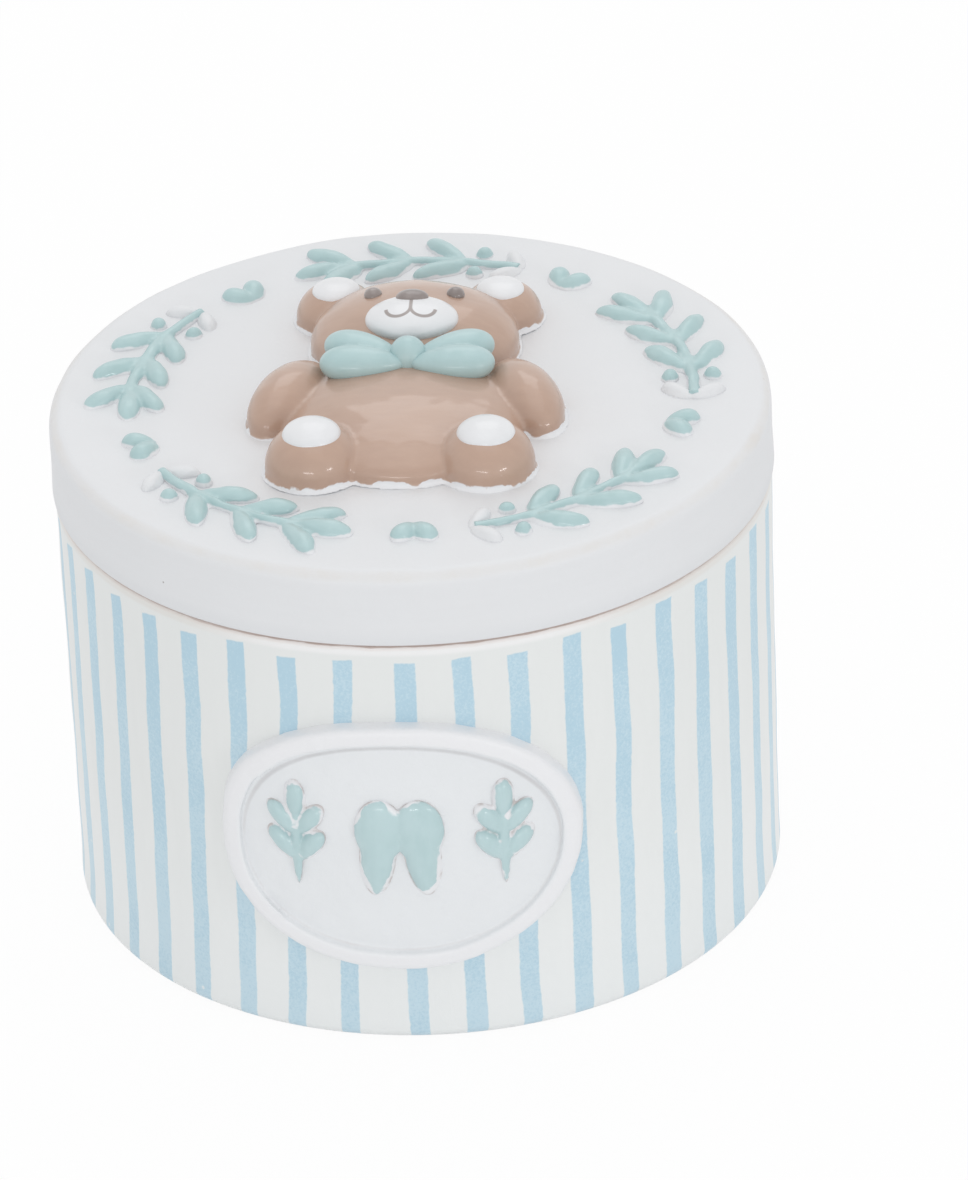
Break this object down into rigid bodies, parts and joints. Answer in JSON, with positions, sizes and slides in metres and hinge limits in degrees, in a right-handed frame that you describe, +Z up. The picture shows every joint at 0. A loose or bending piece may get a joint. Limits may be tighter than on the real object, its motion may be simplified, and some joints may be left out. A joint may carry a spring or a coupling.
{
  "type": "baby tooth box",
  "caption": "Small round keepsake box with striped sides, an oval plaque and a lift-off lid with a raised bear in a wreath of leaves, for keeping baby teeth.",
  "frame": {"origin": "middle of the flat base, on the surface that the box stands on", "axes": "+Z up through the lid, -Y to the front with the oval plaque, +X to the right of someone looking at the plaque"},
  "size_m": [0.07, 0.0717, 0.0585],
  "materials": {
    "striped_white": "matte",
    "lid_white": "matte",
    "plaque_white": "satin",
    "relief_white": "satin",
    "mint_paint": "satin",
    "taupe_gloss": "gloss",
    "brown_gloss": "gloss"
  },
  "bodies": {
    "box": {"box_cup": "striped_white", "oval_plaque": "plaque_white", "plaque_tooth": "mint_paint", "plaque_left_sprig": "mint_paint", "plaque_right_sprig": "mint_paint"},
    "lid": {"lid_cap": "lid_white", "sprig_1": "mint_paint", "sprig_2": "mint_paint", "sprig_3": "mint_paint", "sprig_4": "mint_paint", "sprig_5": "mint_paint", "white_leaves": "relief_white", "berries": "mint_paint", "hearts": "mint_paint", "bear_body": "taupe_gloss", "bear_head": "taupe_gloss", "bear_left_ear": "taupe_gloss", "bear_right_ear": "taupe_gloss", "bear_left_arm": "taupe_gloss", "bear_right_arm": "taupe_gloss", "bear_left_foot": "taupe_gloss", "bear_right_foot": "taupe_gloss", "ear_inners": "relief_white", "foot_pads": "relief_white", "bear_muzzle": "relief_white", "bear_nose": "brown_gloss", "bear_eyes": "brown_gloss", "bow_left_loop": "mint_paint", "bow_right_loop": "mint_paint", "bow_knot": "mint_paint"}
  },
  "joints": [
    {"name": "lid_lift", "type": "slide", "parent": "box", "child": "lid", "axis": [0, 0, 1], "range_m": [0, 0.06]}
  ]
}
